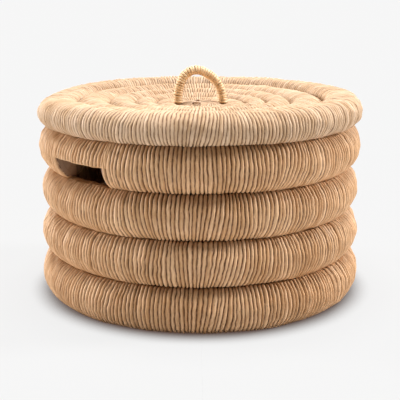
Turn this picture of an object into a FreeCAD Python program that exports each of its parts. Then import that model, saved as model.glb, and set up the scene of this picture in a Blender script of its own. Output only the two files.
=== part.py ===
import FreeCAD, Part
import math
import os
import Sketcher

Vector = FreeCAD.Vector

# A round lidded storage basket made of thick wrapped coils. Four coils stand on each other as the
# wall, flat coils close the bottom, and a dished lid of concentric coils rests on the top coil.
# The basket stands on z = 0, its axis is Z, and its two hand slots face -X and +X.

doc = FreeCAD.newDocument("LiddedCoilBasket")
sheet = doc.addObject("Spreadsheet::Sheet", "Sizes")

SIZES = [
    # The cord and the fits
    ("cordThickness", 4.8, "twisted fibre cord wound round every bundle"),
    ("coreClearance", 0.3, "between a bundle and the cord round it"),
    ("coilGap", 0.2, "between two flat coils that lie side by side"),
    ("lengthGap", 0.1, "between one length of cord and the next on the same bundle"),
    ("wideLengths", 16, "lengths of cord that cover a wide ring"),
    ("middleLengths", 12, "lengths of cord that cover a middle-sized ring"),
    ("narrowLengths", 8, "lengths of cord that cover a narrow ring"),
    ("archLengths", 7, "lengths of cord on the top coil from one hand slot to the other"),
    # The wall
    ("wallRadius", 199, "outside of the second coil from the floor"),
    ("footFlare", 2, "how much further out the foot coil stands"),
    ("shoulderDraw", 1, "how much the third coil is drawn in"),
    ("rimSwell", 0.5, "how much further out the top coil stands"),
    ("wallCoilWidth", 42, "a wall coil across"),
    ("wallCoilHeight", 53, "a wall coil from top to bottom"),
    ("beddingFlat", 12, "flat band where one wall coil beds on the next"),
    # The hand slots in the top coil
    ("slotAngle", 22.4, "width of a hand slot, in degrees round the axis"),
    ("gripHeight", 31.5, "wrapped grip left above a hand slot"),
    ("gripCurve", 4.5, "rise of the rounded underside of the grip"),
    # The floor of the basket
    ("floorLow", 5, "underside of the floor coils above the ground"),
    ("floorHeight", 33, "a floor coil from top to bottom"),
    ("floorCrown", 7, "rise of a floor coil between its sides"),
    ("floorHubRadius", 33, "round coil end in the middle of the floor"),
    ("hubFlatShare", 0.5, "flat part of a hub's radius"),
    # The lid
    ("lidOverhang", 1, "how far the lid stands past the wall radius"),
    ("mouthClearance", 3.5, "from the second lid coil to the narrowest part of the mouth"),
    ("rimRound", 18.5, "radius of the lid's rounded outer edge"),
    ("rimSeatEdge", 9, "flat seat of the lid past the middle of that round"),
    ("rimCrownLead", 15, "from the lid's outer coil's inner side to its crown"),
    ("rimCrownDrop", 14, "how far that inner side starts below the crown"),
    ("rimSeatLead", 12, "from that inner side to its flat seat"),
    ("rimSeatRise", 10, "how far that inner side ends above the seat"),
    ("secondCoilOuterDrop", 8, "how far the second lid coil hangs into the mouth"),
    ("secondCoilTop", 29.7, "crown of the second lid coil above the wall"),
    ("secondCoilCrown", 11, "rise of the second lid coil"),
    ("thirdCoilWidth", 30.5, "third lid coil across"),
    ("thirdCoilTop", 27.7, "crown of the third lid coil above the wall"),
    ("thirdCoilCrown", 8, "rise of the third lid coil"),
    ("fourthCoilWidth", 23.6, "fourth lid coil across"),
    ("fourthCoilTop", 25.3, "crown of the fourth lid coil above the wall"),
    ("fourthCoilCrown", 6, "rise of the fourth lid coil"),
    ("fifthCoilWidth", 29.9, "fifth lid coil across"),
    ("fifthCoilTop", 22.7, "crown of the fifth lid coil above the wall"),
    ("fifthCoilCrown", 6.5, "rise of the fifth lid coil"),
    ("lidCornerLevel", 3, "where the inner lid coils' undersides meet, above the wall"),
    ("hubRadius", 28.5, "round hub in the middle of the lid"),
    ("hubTop", 22.7, "top of the lid's hub above the wall"),
    ("hubCrown", 5, "rise of the hub's rounded edge"),
    # The handle
    ("handleAngle", -31.4, "turn of the handle about the axis, in degrees"),
    ("handleCane", 5.2, "diameter of the bent cane inside the handle"),
    ("handleCord", 3, "diameter of the fine cane wound round it"),
    ("handleTurns", 24, "turns of that winding"),
    ("handleRise", 67.7, "outside of the handle's top above the wall"),
    ("handleCrownRadius", 20, "bend of the handle's top, on its centre line"),
    ("handleLean", 5, "how far that bend's middle stands to the left of the axis"),
    ("windingGap", 0.3, "between the winding and the cane inside it"),
    ("windingStart", 23.7, "lowest turn of the winding above the wall"),
    ("knotRadius", 8, "tied knot on each end of the handle"),
    ("knotHeight", 7, "height of such a knot"),
    ("legTail", 2, "length of cane that shows below a knot"),
    # The stitches
    ("stitchThickness", 4.4, "lashing cord that ties two coils together"),
    ("stitchLength", 14, "length of a lashing stitch"),
    ("wallStitches", 10, "stitches along each half of a wall seam, between the hand slots"),
    ("slotStitchAngle", 8, "from a hand slot's end to the nearest stitch, in degrees"),
    ("flatStitches", 12, "stitches round each seam of the lid and floor"),
]

for row, (alias, value, note) in enumerate(SIZES, start=1):
    sheet.set(f"A{row}", note)
    sheet.set(f"B{row}", str(value))
    sheet.setAlias(f"B{row}", alias)
doc.recompute()


class Expr:
    """A formula over the sheet's sizes, as text, built with ordinary operators."""

    def __init__(self, text):
        self.text = str(text)

    def join(self, sign, other, swapped=False):
        left, right = (other, self) if swapped else (self, other)
        left, right = (str(side.text if isinstance(side, Expr) else side) for side in (left, right))
        return Expr(f"({left} {sign} {right})")

    def __add__(self, other):
        return self.join("+", other)

    def __radd__(self, other):
        return self.join("+", other, True)

    def __sub__(self, other):
        return self.join("-", other)

    def __rsub__(self, other):
        return self.join("-", other, True)

    def __mul__(self, other):
        return self.join("*", other)

    def __rmul__(self, other):
        return self.join("*", other, True)

    def __truediv__(self, other):
        return self.join("/", other)

    def squared(self):
        return self * self

    def value(self):
        return float(sheet.evalExpression(self.text))


def size(alias):
    return Expr(f"Sizes.{alias}")


def root(formula):
    return Expr(f"sqrt({formula.text})")


def smaller(first, second):
    return Expr(f"min({first.text}; {second.text})")


def cosine(degrees):
    return Expr(f"cos({degrees.text})")


def sine(degrees):
    return Expr(f"sin({degrees.text})")


def number(value):
    return Expr(f"{value}")


# Sizes that several pieces share
cord = size("cordThickness")
clearance = size("coreClearance")
halfCoilGap = size("coilGap") / 2
noInset = number(0)
coreInset = cord + clearance
coilHeight = size("wallCoilHeight")
coilWidth = size("wallCoilWidth")
wallTop = coilHeight * 4
footRadius = size("wallRadius") + size("footFlare")
shoulderRadius = size("wallRadius") - size("shoulderDraw")
topRadius = size("wallRadius") + size("rimSwell")
mouthRadius = topRadius - coilWidth
lidRadius = size("wallRadius") + size("lidOverhang")


def arcRadius(chord, rise):
    """Radius of an arc from its chord and its rise."""
    return (chord.squared() / 4 + rise.squared()) / (rise * 2)


def insetRise(chord, rise, inset):
    """Rise of the arc that runs inside another at a steady distance."""
    inner = arcRadius(chord, rise) - inset
    return inner - root(inner.squared() - (chord / 2 - inset).squared())


def standingCoil(outer, low, inset):
    """Outline of a wall coil: flat top and bottom, with an arc on each side."""
    middle = outer - coilWidth / 2
    fullRise = (coilWidth - size("beddingFlat")) / 2
    rise = insetRise(coilHeight, fullRise, inset)
    flat = coilWidth / 2 - inset - rise
    bottom, top = low + inset, low + coilHeight - inset
    radius = arcRadius(coilHeight, fullRise) - inset
    points = [(middle - flat, bottom), (middle + flat, bottom), (middle + flat, top), (middle - flat, top)]
    return points, [None, radius, None, radius]


def flatCoil(inner, outer, low, high, lowCrown, highCrown, inset):
    """Outline of a lid or floor coil: upright sides, with an arc above and one below."""
    width = outer - inner
    left, right = inner + inset, outer - inset
    lowRise, highRise = insetRise(width, lowCrown, inset), insetRise(width, highCrown, inset)
    bottom, top = low + inset + lowRise, high - inset - highRise
    radii = [arcRadius(width, lowCrown) - inset, None, arcRadius(width, highCrown) - inset, None]
    return [(left, bottom), (right, bottom), (right, top), (left, top)], radii


def edgeRadius(lead, rise):
    """Radius of an arc that starts level and drops by its rise over its lead."""
    return (lead.squared() + rise.squared()) / (rise * 2)


def edgeLevel(lead, rise, inset):
    """How far the arc's end lies below its level start once it is set in."""
    inner = edgeRadius(lead, rise) - inset
    return inner - root(inner.squared() - (lead - inset).squared())


def hubOutline(radius, low, high, crown, inset):
    """Outline of a hub from the axis outwards: flat in the middle, with rounded edges."""
    flat = radius * size("hubFlatShare")
    lead = radius - flat
    drop = edgeLevel(lead, crown, inset)
    bottom, top, side = low + inset, high - inset, radius - inset
    points = [(noInset, bottom), (flat, bottom), (side, bottom + drop), (side, top - drop), (flat, top),
              (noInset, top)]
    edge = edgeRadius(lead, crown) - inset
    return points, [None, edge, None, edge, None, None]


def lidRimOutline(inner, inset):
    """Outline of the lid's outer coil: a flat seat, a round outer edge and a level crown."""
    belly = root(size("rimRound").squared() - size("rimSeatEdge").squared())
    outside = size("rimRound") - inset
    bottom, top = wallTop + inset, wallTop + belly + outside
    crownLead, crownDrop = size("rimCrownLead"), size("rimCrownDrop")
    seatLead, seatRise = size("rimSeatLead"), size("rimSeatRise")
    outerCentre = lidRadius - size("rimRound")
    seatEnd = outerCentre + root(outside.squared() - (belly - inset).squared())
    side = inner + inset
    points = [
        (inner + seatLead, bottom),
        (seatEnd, bottom),
        (outerCentre, top),
        (inner + crownLead, top),
        (side, top - edgeLevel(crownLead, crownDrop, inset)),
        (side, bottom + edgeLevel(seatLead, seatRise, inset)),
    ]
    radii = [None, outside, None, edgeRadius(crownLead, crownDrop) - inset, None]
    return points, radii + [edgeRadius(seatLead, seatRise) - inset]


def newBody(name):
    body = doc.addObject("PartDesign::Body", name)
    body.Label = name
    return body


def newSketch(body, name, plane="XZ_Plane"):
    sketch = body.newObject("Sketcher::SketchObject", name)
    origin = next(item for item in body.Origin.OriginFeatures if item.Role == plane)
    sketch.AttachmentSupport = [(origin, "")]
    sketch.MapMode = "FlatFace"
    return sketch


def bind(sketch, constraint, formula):
    index = sketch.addConstraint(constraint)
    sketch.setExpression(f"Constraints[{index}]", formula.text)


def drawOutline(sketch, points, radii):
    """Draw a closed outline, anticlockwise. A radius of None is a straight edge, and a
    negative one is an arc that curves inwards. Each corner and radius follows the sheet."""
    corners = [Vector(across.value(), up.value(), 0) for across, up in points]
    ends = []
    for here, radius in enumerate(radii):
        start, end = corners[here], corners[(here + 1) % len(corners)]
        if radius is None:
            edge = sketch.addGeometry(Part.LineSegment(start, end), False)
            ends.append((edge, 1, 2))
            continue
        reach = abs(radius.value())
        inwards = radius.value() < 0
        if inwards:
            start, end = end, start
        middle, chord = (start + end) / 2, end - start
        offset = math.sqrt(max(reach**2 - (chord.Length / 2) ** 2, 0))
        centre = middle + Vector(-chord.y, chord.x, 0).normalize() * offset
        angles = [math.atan2((point - centre).y, (point - centre).x) for point in (start, end)]
        circle = Part.Circle(centre, Vector(0, 0, 1), reach)
        edge = sketch.addGeometry(Part.ArcOfCircle(circle, *angles), False)
        ends.append((edge, 2, 1) if inwards else (edge, 1, 2))
    for here, (edge, first, last) in enumerate(ends):
        following, start, _ = ends[(here + 1) % len(ends)]
        sketch.addConstraint(Sketcher.Constraint("Coincident", edge, last, following, start))
    for (edge, first, _), (across, up), corner in zip(ends, points, corners):
        bind(sketch, Sketcher.Constraint("DistanceX", -1, 1, edge, first, corner.x), across)
        bind(sketch, Sketcher.Constraint("DistanceY", -1, 1, edge, first, corner.y), up)
    for (edge, _, _), radius in zip(ends, radii):
        if radius is not None:
            reach = radius if radius.value() > 0 else number(0) - radius
            bind(sketch, Sketcher.Constraint("Radius", edge, reach.value()), reach)


def turn(body, kind, outline, angle=None, plane="XZ_Plane"):
    """Turn an outline about the axis, all the way or by an angle to both sides of its plane."""
    count = len(body.Group)
    sketch = newSketch(body, f"{body.Name}_outline{count}", plane)
    drawOutline(sketch, *outline)
    feature = body.newObject(f"PartDesign::{kind}", f"{body.Name}_turn{count}")
    feature.Profile = sketch
    feature.ReferenceAxis = (sketch, ["V_Axis"])
    if angle is None:
        feature.Angle = 360
    else:
        feature.Midplane = True
        feature.setExpression("Angle", angle.text)
    body.Tip = feature
    return feature


def repeatRound(body, feature, count):
    pattern = body.newObject("PartDesign::PolarPattern", f"{body.Name}_round{len(body.Group)}")
    pattern.Originals = [feature]
    axis = next(item for item in body.Origin.OriginFeatures if item.Role == "Z_Axis")
    pattern.Axis = (axis, [""])
    pattern.Angle = 360
    pattern.setExpression("Occurrences", count.text)
    body.Tip = pattern
    return pattern


def partLengths(wrap, inner, outer, count, slotHalf=None):
    """Part a sleeve into its lengths of cord with narrow radial cuts, each on the side of its plane
    that comes first round the axis. With a slot, both halves between the slots are cut, ends too."""
    sketch = newSketch(wrap, f"{wrap.Name}_ends", "XY_Plane")
    near, far, gap = inner - cord, outer + cord, size("lengthGap")
    level = number(0)
    cuts = [[(near, level - gap), (far, level - gap), (far, level), (near, level)]]
    if slotHalf is not None:
        sketch.setExpression("AttachmentOffset.Rotation.Angle", slotHalf.text)
        cuts.append([(level - far, level), (level - near, level), (level - near, gap), (level - far, gap)])
    for corners in cuts:
        drawOutline(sketch, corners, [None] * 4)
    pocket = wrap.newObject("PartDesign::Pocket", f"{wrap.Name}_parting")
    pocket.Profile = sketch
    pocket.Type = "ThroughAll"
    pocket.Reversed = True
    if slotHalf is None:
        return repeatRound(wrap, pocket, count)
    pattern = repeatRound(wrap, pocket, count + 1)
    pattern.setExpression("Angle", (180 - slotHalf * 2).text)
    return pattern


def wrappedCoil(name, outline, inner=None, outer=None, count=None):
    """A coil in two pieces: its fibre bundle, and the sleeve of cord wound round it. The sleeve of
    a ring is in lengths of cord, side by side."""
    core = newBody(f"{name}_core")
    turn(core, "Revolution", outline(coreInset))
    wrap = newBody(f"{name}_wrap")
    turn(wrap, "Revolution", outline(noInset))
    turn(wrap, "Groove", outline(cord))
    if count is not None:
        partLengths(wrap, inner, outer, count)
    return core, wrap


# The wall's three whole coils
WALL_COILS = [("foot_coil", footRadius), ("belly_coil", size("wallRadius")),
              ("shoulder_coil", shoulderRadius)]
for level, (name, outer) in enumerate(WALL_COILS):
    wrappedCoil(
        name,
        lambda inset, outer=outer, low=coilHeight * level: standingCoil(outer, low, inset),
        outer - coilWidth, outer, size("wideLengths"),
    )


# The top coil, whose upper bundle runs on as a grip above each hand slot
topLow = coilHeight * 3
topMiddle = topRadius - coilWidth / 2
sideRise = (coilWidth - size("beddingFlat")) / 2
sideRadius = arcRadius(coilHeight, sideRise)
slotTop = wallTop - size("gripHeight")
cutMargin = cord


def sideReach(level, inset):
    """How far the coil's side stands from its middle, at a level above the coil's middle."""
    reach = sideRadius - inset
    return root(reach.squared() - level.squared()) - (sideRadius - coilWidth / 2)


def gripLine(inset):
    """Half width and level where the grip's rounded underside meets its sides."""
    level = slotTop + size("gripCurve") + inset
    return sideReach(level - topLow - coilHeight / 2, inset), level


def gripUnderside(inset):
    """Radius of the grip's rounded underside between those two lines."""
    half, level = gripLine(inset)
    return arcRadius(half * 2, level - slotTop - inset)


def gripOutline(inset):
    half, level = gripLine(inset)
    (_, _), (_, _), (right, top), (left, _) = standingCoil(topRadius, topLow, inset)[0]
    side = sideRadius - inset
    points = [(topMiddle - half, level), (topMiddle + half, level), (right, top), (left, top)]
    return points, [gripUnderside(inset), side, None, side]


def fillerOutline(inset):
    """The lower bundle, which lies under the grip's bundle and ends at each slot."""
    half, level = gripLine(cord)
    outline, radii = standingCoil(topRadius, topLow, inset)
    shoulder = level - clearance
    reach = sideReach(shoulder - topLow - coilHeight / 2, inset)
    points = [outline[0], outline[1], (topMiddle + reach, shoulder), (topMiddle - reach, shoulder)]
    hollow = arcRadius(reach * 2, size("gripCurve"))
    return points, [None, radii[1], number(0) - hollow, radii[3]]


def slotCutOutline():
    """What is cut away at a slot, below the grip's rounded underside."""
    half, level = gripLine(noInset)
    reach = coilWidth / 2 + cutMargin
    rise = gripUnderside(noInset)
    drop = rise - root(rise.squared() - reach.squared())
    edge, bottom = slotTop + drop, topLow - cutMargin
    points = [(topMiddle - reach, bottom), (topMiddle + reach, bottom), (topMiddle + reach, edge),
              (topMiddle - reach, edge)]
    return points, [None, None, number(0) - rise, None]


capAngle = cord / topMiddle * (180 / math.pi)
joinedAngle = 180 - size("slotAngle") - capAngle * 2
fillerAngle = joinedAngle - clearance / topMiddle * (360 / math.pi)

gripCore = newBody("grip_core")
turn(gripCore, "Revolution", gripOutline(coreInset))

for name, spin in (("filler_core_left", 0), ("filler_core_right", 180)):
    filler = newBody(name)
    turn(filler, "Revolution", fillerOutline(coreInset), fillerAngle, "YZ_Plane")
    filler.Placement = FreeCAD.Placement(Vector(), FreeCAD.Rotation(Vector(0, 0, 1), spin))

topWrap = newBody("top_coil_wrap")
turn(topWrap, "Revolution", standingCoil(topRadius, topLow, noInset))
slot = turn(topWrap, "Groove", slotCutOutline(), size("slotAngle"))
repeatRound(topWrap, slot, number(2))
turn(topWrap, "Groove", gripOutline(cord))
joined = turn(topWrap, "Groove", standingCoil(topRadius, topLow, cord), joinedAngle, "YZ_Plane")
repeatRound(topWrap, joined, number(2))
partLengths(topWrap, mouthRadius, topRadius, size("archLengths"), size("slotAngle") / 2)


# The floor's flat coils, which fill the foot coil
floorLow = size("floorLow")
floorHigh = floorLow + size("floorHeight")
footInner = footRadius - coilWidth
FLOOR_COILS = [("outer_floor_coil", "wideLengths"), ("middle_floor_coil", "middleLengths"),
               ("inner_floor_coil", "narrowLengths")]
floorWidth = (footInner - size("floorHubRadius")) / len(FLOOR_COILS)


def floorOutline(inner, outer):
    crown, left, right = size("floorCrown"), inner + halfCoilGap, outer - halfCoilGap
    return lambda inset: flatCoil(left, right, floorLow, floorHigh, crown, crown, inset)


for place, (name, lengths) in enumerate(FLOOR_COILS):
    outer = footInner - floorWidth * place
    inner = outer - floorWidth
    wrappedCoil(name, floorOutline(inner, outer), inner, outer, size(lengths))
wrappedCoil(
    "floor_hub",
    lambda inset: hubOutline(
        size("floorHubRadius") - halfCoilGap, floorLow, floorHigh, size("floorCrown"), inset
    ),
)

# The lid, from its rim inwards
secondOuter = mouthRadius - size("mouthClearance")
fifthOuter = size("hubRadius") + size("fifthCoilWidth")
fourthOuter = fifthOuter + size("fourthCoilWidth")
thirdOuter = fourthOuter + size("thirdCoilWidth")
cornerLevel = wallTop + size("lidCornerLevel")
secondLow = wallTop - size("secondCoilOuterDrop")

wrappedCoil("lid_rim_coil", lambda inset: lidRimOutline(secondOuter, inset), secondOuter, lidRadius,
            size("wideLengths"))
LID_COILS = [
    ("second", thirdOuter, secondOuter, secondLow, "wideLengths"),
    ("third", fourthOuter, thirdOuter, cornerLevel - size("thirdCoilCrown"), "middleLengths"),
    ("fourth", fifthOuter, fourthOuter, cornerLevel - size("fourthCoilCrown"), "narrowLengths"),
    ("fifth", size("hubRadius"), fifthOuter, cornerLevel - size("fifthCoilCrown"), "narrowLengths"),
]
hubLow = cornerLevel - size("hubCrown")


def lidOutline(name, inner, outer, low):
    crown, high = size(f"{name}CoilCrown"), wallTop + size(f"{name}CoilTop")
    left, right = inner + halfCoilGap, outer - halfCoilGap
    return lambda inset: flatCoil(left, right, low, high, crown, crown, inset)


lidPieces = {}
for name, inner, outer, low, lengths in LID_COILS:
    outline = lidOutline(name, inner, outer, low)
    lidPieces[name] = wrappedCoil(f"{name}_lid_coil", outline, inner, outer, size(lengths))
lidPieces["hub"] = wrappedCoil(
    "lid_hub",
    lambda inset: hubOutline(
        size("hubRadius") - halfCoilGap, hubLow, wallTop + size("hubTop"), size("hubCrown"), inset
    ),
)


def turnWithHandle(thing):
    thing.setExpression("Placement.Rotation.Angle", "Sizes.handleAngle")


# Half of each leg's hole is in the hub's cord and half in the fifth coil's
handleFoot = size("hubRadius")
for name in ("hub", "fifth"):
    wrap = lidPieces[name][1]
    holes = newSketch(wrap, f"{wrap.Name}_leg_holes", "XY_Plane")
    for side in (-1, 1):
        circle = Part.Circle(Vector(side * handleFoot.value(), 0, 0), Vector(0, 0, 1), 1)
        edge = holes.addGeometry(circle, False)
        place = handleFoot * side
        bind(holes, Sketcher.Constraint("DistanceX", -1, 1, edge, 3, place.value()), place)
        holes.addConstraint(Sketcher.Constraint("PointOnObject", edge, 3, -1))
        legHole = size("handleCane") / 2 + clearance
        bind(holes, Sketcher.Constraint("Radius", edge, legHole.value()), legHole)
    pocket = wrap.newObject("PartDesign::Pocket", f"{wrap.Name}_leg_pocket")
    pocket.Profile = holes
    pocket.Type = "ThroughAll"
    pocket.Reversed = True
    wrap.Tip = pocket
    turnWithHandle(wrap)

# The handle: a bent cane, whose two legs go through the lid to a knot each
archFoot = wallTop + size("windingStart")
archHeight = size("handleRise") - size("windingStart") - size("handleCane") / 2 - size("handleCord")
archHeight = archHeight - size("windingGap")
crownRadius = size("handleCrownRadius")
crownLevel = archHeight - crownRadius
handleLean = size("handleLean")
legEnd = hubLow - size("knotHeight") - size("legTail")


def handleSide(reach):
    """Radius of the arc between a leg and the crown, and where the two meet, from the leg's
    distance to the crown's middle."""
    arc = (reach.squared() + crownLevel.squared() - crownRadius.squared()) / ((reach - crownRadius) * 2)
    return arc, crownRadius * (arc - reach) / (arc - crownRadius), crownLevel * arc / (arc - crownRadius)


leftArc, leftAcross, leftUp = handleSide(handleFoot - handleLean)
rightArc, rightAcross, rightUp = handleSide(handleFoot + handleLean)

caneBody = newBody("handle_cane")
route = newSketch(caneBody, "handle_route")
routePoints = [
    (number(0) - handleFoot, legEnd),
    (number(0) - handleFoot, archFoot),
    (number(0) - handleLean - leftAcross, archFoot + leftUp),
    (rightAcross - handleLean, archFoot + rightUp),
    (handleFoot, archFoot),
    (handleFoot, legEnd),
]
bends = [None, leftArc, crownRadius, rightArc, None]


def drawRoute(sketch):
    """The handle's centre line, from the left leg's end over the top to the right leg's end."""
    corners = [Vector(across.value(), up.value(), 0) for across, up in routePoints]
    pieces = []
    for start, end, bend in zip(corners, corners[1:], bends):
        if bend is None:
            pieces.append((sketch.addGeometry(Part.LineSegment(start, end), False), 1, 2))
            continue
        # Each bend turns clockwise along the route, so its arc is drawn from its end
        chord = start - end
        offset = math.sqrt(bend.value() ** 2 - (chord.Length / 2) ** 2)
        centre = (start + end) / 2 + Vector(-chord.y, chord.x, 0).normalize() * offset
        angles = [math.atan2((point - centre).y, (point - centre).x) for point in (end, start)]
        arc = Part.ArcOfCircle(Part.Circle(centre, Vector(0, 0, 1), bend.value()), *angles)
        pieces.append((sketch.addGeometry(arc, False), 2, 1))
    for (edge, _, last), (following, first, _) in zip(pieces, pieces[1:]):
        sketch.addConstraint(Sketcher.Constraint("Coincident", edge, last, following, first))
    spots = [(edge, first) for edge, first, _ in pieces] + [(pieces[-1][0], pieces[-1][2])]
    for (edge, end), (across, up), corner in zip(spots, routePoints, corners):
        bind(sketch, Sketcher.Constraint("DistanceX", -1, 1, edge, end, corner.x), across)
        bind(sketch, Sketcher.Constraint("DistanceY", -1, 1, edge, end, corner.y), up)
    for (edge, _, _), bend in zip(pieces, bends):
        if bend is not None:
            bind(sketch, Sketcher.Constraint("Radius", edge, bend.value()), bend)


drawRoute(route)
section = newSketch(caneBody, "handle_section", "XY_Plane")
section.setExpression("AttachmentOffset.Base.z", legEnd.text)
circle = Part.Circle(Vector(-handleFoot.value(), 0, 0), Vector(0, 0, 1), 1)
ring = section.addGeometry(circle, False)
bind(section, Sketcher.Constraint("DistanceX", -1, 1, ring, 3, -handleFoot.value()), number(0) - handleFoot)
section.addConstraint(Sketcher.Constraint("PointOnObject", ring, 3, -1))
bind(section, Sketcher.Constraint("Diameter", ring, size("handleCane").value()), size("handleCane"))
pipe = caneBody.newObject("PartDesign::AdditivePipe", "handle_pipe")
pipe.Profile = section
pipe.Spine = (route, [f"Edge{index + 1}" for index in range(len(bends))])
caneBody.Tip = pipe
turnWithHandle(caneBody)


def knotOutline():
    """A knot round a leg: bored, flat above and below, with a bulging side."""
    bore = size("handleCane") / 2 + clearance
    bulge = size("knotHeight") / 4
    bottom, top, side = hubLow - size("knotHeight"), hubLow, size("knotRadius") - bulge
    points = [(bore, bottom), (side, bottom), (side, top), (bore, top)]
    return points, [None, arcRadius(size("knotHeight"), bulge), None, None]


for name, side in (("left_handle_knot", -1), ("right_handle_knot", 1)):
    knot = newBody(name)
    turn(knot, "Revolution", knotOutline())
    knot.setExpression("Placement.Base.x", (handleFoot * side * cosine(size("handleAngle"))).text)
    knot.setExpression("Placement.Base.y", (handleFoot * side * sine(size("handleAngle"))).text)


# The lashing stitches that tie neighbouring coils, one group for each seam
stitch = size("stitchThickness")
halfStitch = size("stitchLength") / 2


def stitchGroup(name, plane, offsetAxis, centres, count, angle=None):
    """Short lashing cords round a seam: circles, padded both ways and repeated."""
    body = newBody(name)
    sketch = newSketch(body, f"{name}_circles", plane)
    sketch.setExpression("AttachmentOffset.Base.z", offsetAxis.text)
    for across, up in centres:
        centre = Vector(across.value(), up.value(), 0)
        edge = sketch.addGeometry(Part.Circle(centre, Vector(0, 0, 1), stitch.value() / 2), False)
        bind(sketch, Sketcher.Constraint("DistanceX", -1, 1, edge, 3, across.value()), across)
        bind(sketch, Sketcher.Constraint("DistanceY", -1, 1, edge, 3, up.value()), up)
        bind(sketch, Sketcher.Constraint("Diameter", edge, stitch.value()), stitch)
    pad = body.newObject("PartDesign::Pad", f"{name}_pad")
    pad.Profile = sketch
    pad.Midplane = True
    pad.setExpression("Length", size("stitchLength").text)
    body.Tip = pad
    pattern = repeatRound(body, pad, count)
    if angle is not None:
        pattern.setExpression("Angle", angle.text)


# Wall seams: the stitches stand in the inner groove and touch both coils near their ends. They
# run along each half of the seam between the two hand slots
firstStitch = size("slotAngle") / 2 + size("slotStitchAngle")
WALL_SEAMS = [
    ("foot_seam_stitches", 1, footRadius, size("wallRadius")),
    ("belly_seam_stitches", 2, size("wallRadius"), shoulderRadius),
    ("shoulder_seam_stitches", 3, shoulderRadius, topRadius),
]
for name, level, below, above in WALL_SEAMS:
    inner = smaller(below, above) - coilWidth / 2 - sideReach(coilHeight / 2 - halfStitch, noInset)
    place = inner - stitch / 2 - clearance
    across, up = place * cosine(firstStitch), place * sine(firstStitch)
    centres = [(across, up), (number(0) - across, number(0) - up)]
    stitchGroup(name, "XY_Plane", coilHeight * level, centres, size("wallStitches"), 180 - firstStitch * 2)


def flankBelow(width, crown, low):
    """Level of a flat coil's underside half a stitch away from its side."""
    radius = arcRadius(width, crown)
    return low + radius - root(radius.squared() - (width / 2 - halfStitch).squared())


def hubFlank(radius, low, crown):
    """Level of a hub's underside half a stitch in from its edge."""
    lead = radius - radius * size("hubFlatShare")
    edge = edgeRadius(lead, crown)
    return low + edge - root(edge.squared() - (lead - halfStitch).squared())


def levelSeam(name, seam, oneSide, otherSide):
    """Stitches that lie level under a seam of the lid or floor, against its lower coil."""
    level = smaller(oneSide, otherSide) - stitch / 2 - clearance
    stitchGroup(name, "YZ_Plane", seam, [(number(0), level)], size("flatStitches"))


footFlank = coilHeight / 2 - root(sideRadius.squared() - (sideRadius - halfStitch).squared())
floorFlank = flankBelow(floorWidth, size("floorCrown"), floorLow)
floorSeams = [
    ("floor_edge_stitches", footInner, footFlank),
    ("outer_floor_stitches", footInner - floorWidth, floorFlank),
    ("middle_floor_stitches", footInner - floorWidth * 2, floorFlank),
    ("floor_hub_stitches", size("floorHubRadius"),
     hubFlank(size("floorHubRadius"), floorLow, size("floorCrown"))),
]
for name, seam, flank in floorSeams:
    levelSeam(name, seam, flank, floorFlank)

seatRadius = edgeRadius(size("rimSeatLead"), size("rimSeatRise"))
rimFlank = wallTop + seatRadius - root(seatRadius.squared() - (size("rimSeatLead") - halfStitch).squared())
flanks = [rimFlank]
for name, inner, outer, low, _ in LID_COILS:
    flanks.append(flankBelow(outer - inner, size(f"{name}CoilCrown"), low))
flanks.append(hubFlank(size("hubRadius"), hubLow, size("hubCrown")))
LID_SEAMS = [("lid_rim_stitches", secondOuter), ("second_lid_stitches", thirdOuter),
             ("third_lid_stitches", fourthOuter), ("fourth_lid_stitches", fifthOuter)]
for index, (name, seam) in enumerate(LID_SEAMS):
    levelSeam(name, seam, flanks[index], flanks[index + 1])

doc.recompute()


# The handle's winding: one unbroken cane, wound up one leg, over the top and down the other
def handleArcs():
    """Middle, radius, first angle and sweep of each arc of the handle's arch, from left to right."""
    foot, lean, up = handleFoot.value(), handleLean.value(), crownLevel.value()
    left, crown, right = leftArc.value(), crownRadius.value(), rightArc.value()
    leftSweep, rightSweep = math.atan2(up, left - foot + lean), math.atan2(up, right - foot - lean)
    return [
        (Vector(left - foot, 0, 0), left, math.pi, leftSweep),
        (Vector(-lean, 0, up), crown, math.pi - leftSweep, math.pi - leftSweep - rightSweep),
        (Vector(foot - right, 0, 0), right, rightSweep, rightSweep),
    ]


def handleLine(along):
    """Point and directions on the handle's centre line, at a distance along its arch."""
    arcs = handleArcs()
    while len(arcs) > 1 and along > arcs[0][1] * arcs[0][3]:
        _, radius, _, sweep = arcs.pop(0)
        along -= radius * sweep
    centre, radius, first, _ = arcs[0]
    angle = first - along / radius
    outwards = Vector(math.cos(angle), 0, math.sin(angle))
    return centre + outwards * radius, outwards, Vector(math.sin(angle), 0, -math.cos(angle))


def archLength():
    return sum(radius * sweep for _, radius, _, sweep in handleArcs())


def windingPoint(turns):
    """Point on the winding's centre line after so many turns, and its direction there."""
    coilRadius = (size("handleCane") / 2 + size("windingGap") + size("handleCord") / 2).value()
    margin = size("handleCord").value() / 2
    usable = archLength() - 2 * margin
    rate = usable / size("handleTurns").value()
    centre, outwards, forwards = handleLine(margin + rate * turns)
    sideways = Vector(0, 1, 0)
    angle = 2 * math.pi * turns
    point = centre + outwards * (coilRadius * math.cos(angle)) + sideways * (coilRadius * math.sin(angle))
    around = sideways * math.cos(angle) - outwards * math.sin(angle)
    direction = around * (2 * math.pi * coilRadius) + forwards * rate
    return point + Vector(0, 0, archFoot.value()), direction.normalize()


def tangentArc(start, apex, end):
    """The arc from start to end whose two end tangents meet at apex."""
    half = (end - start).Length / 2
    middle = (start + end) / 2
    return Part.Arc(start, middle + (apex - middle) * (half / (half + (apex - start).Length)), end)


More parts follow.
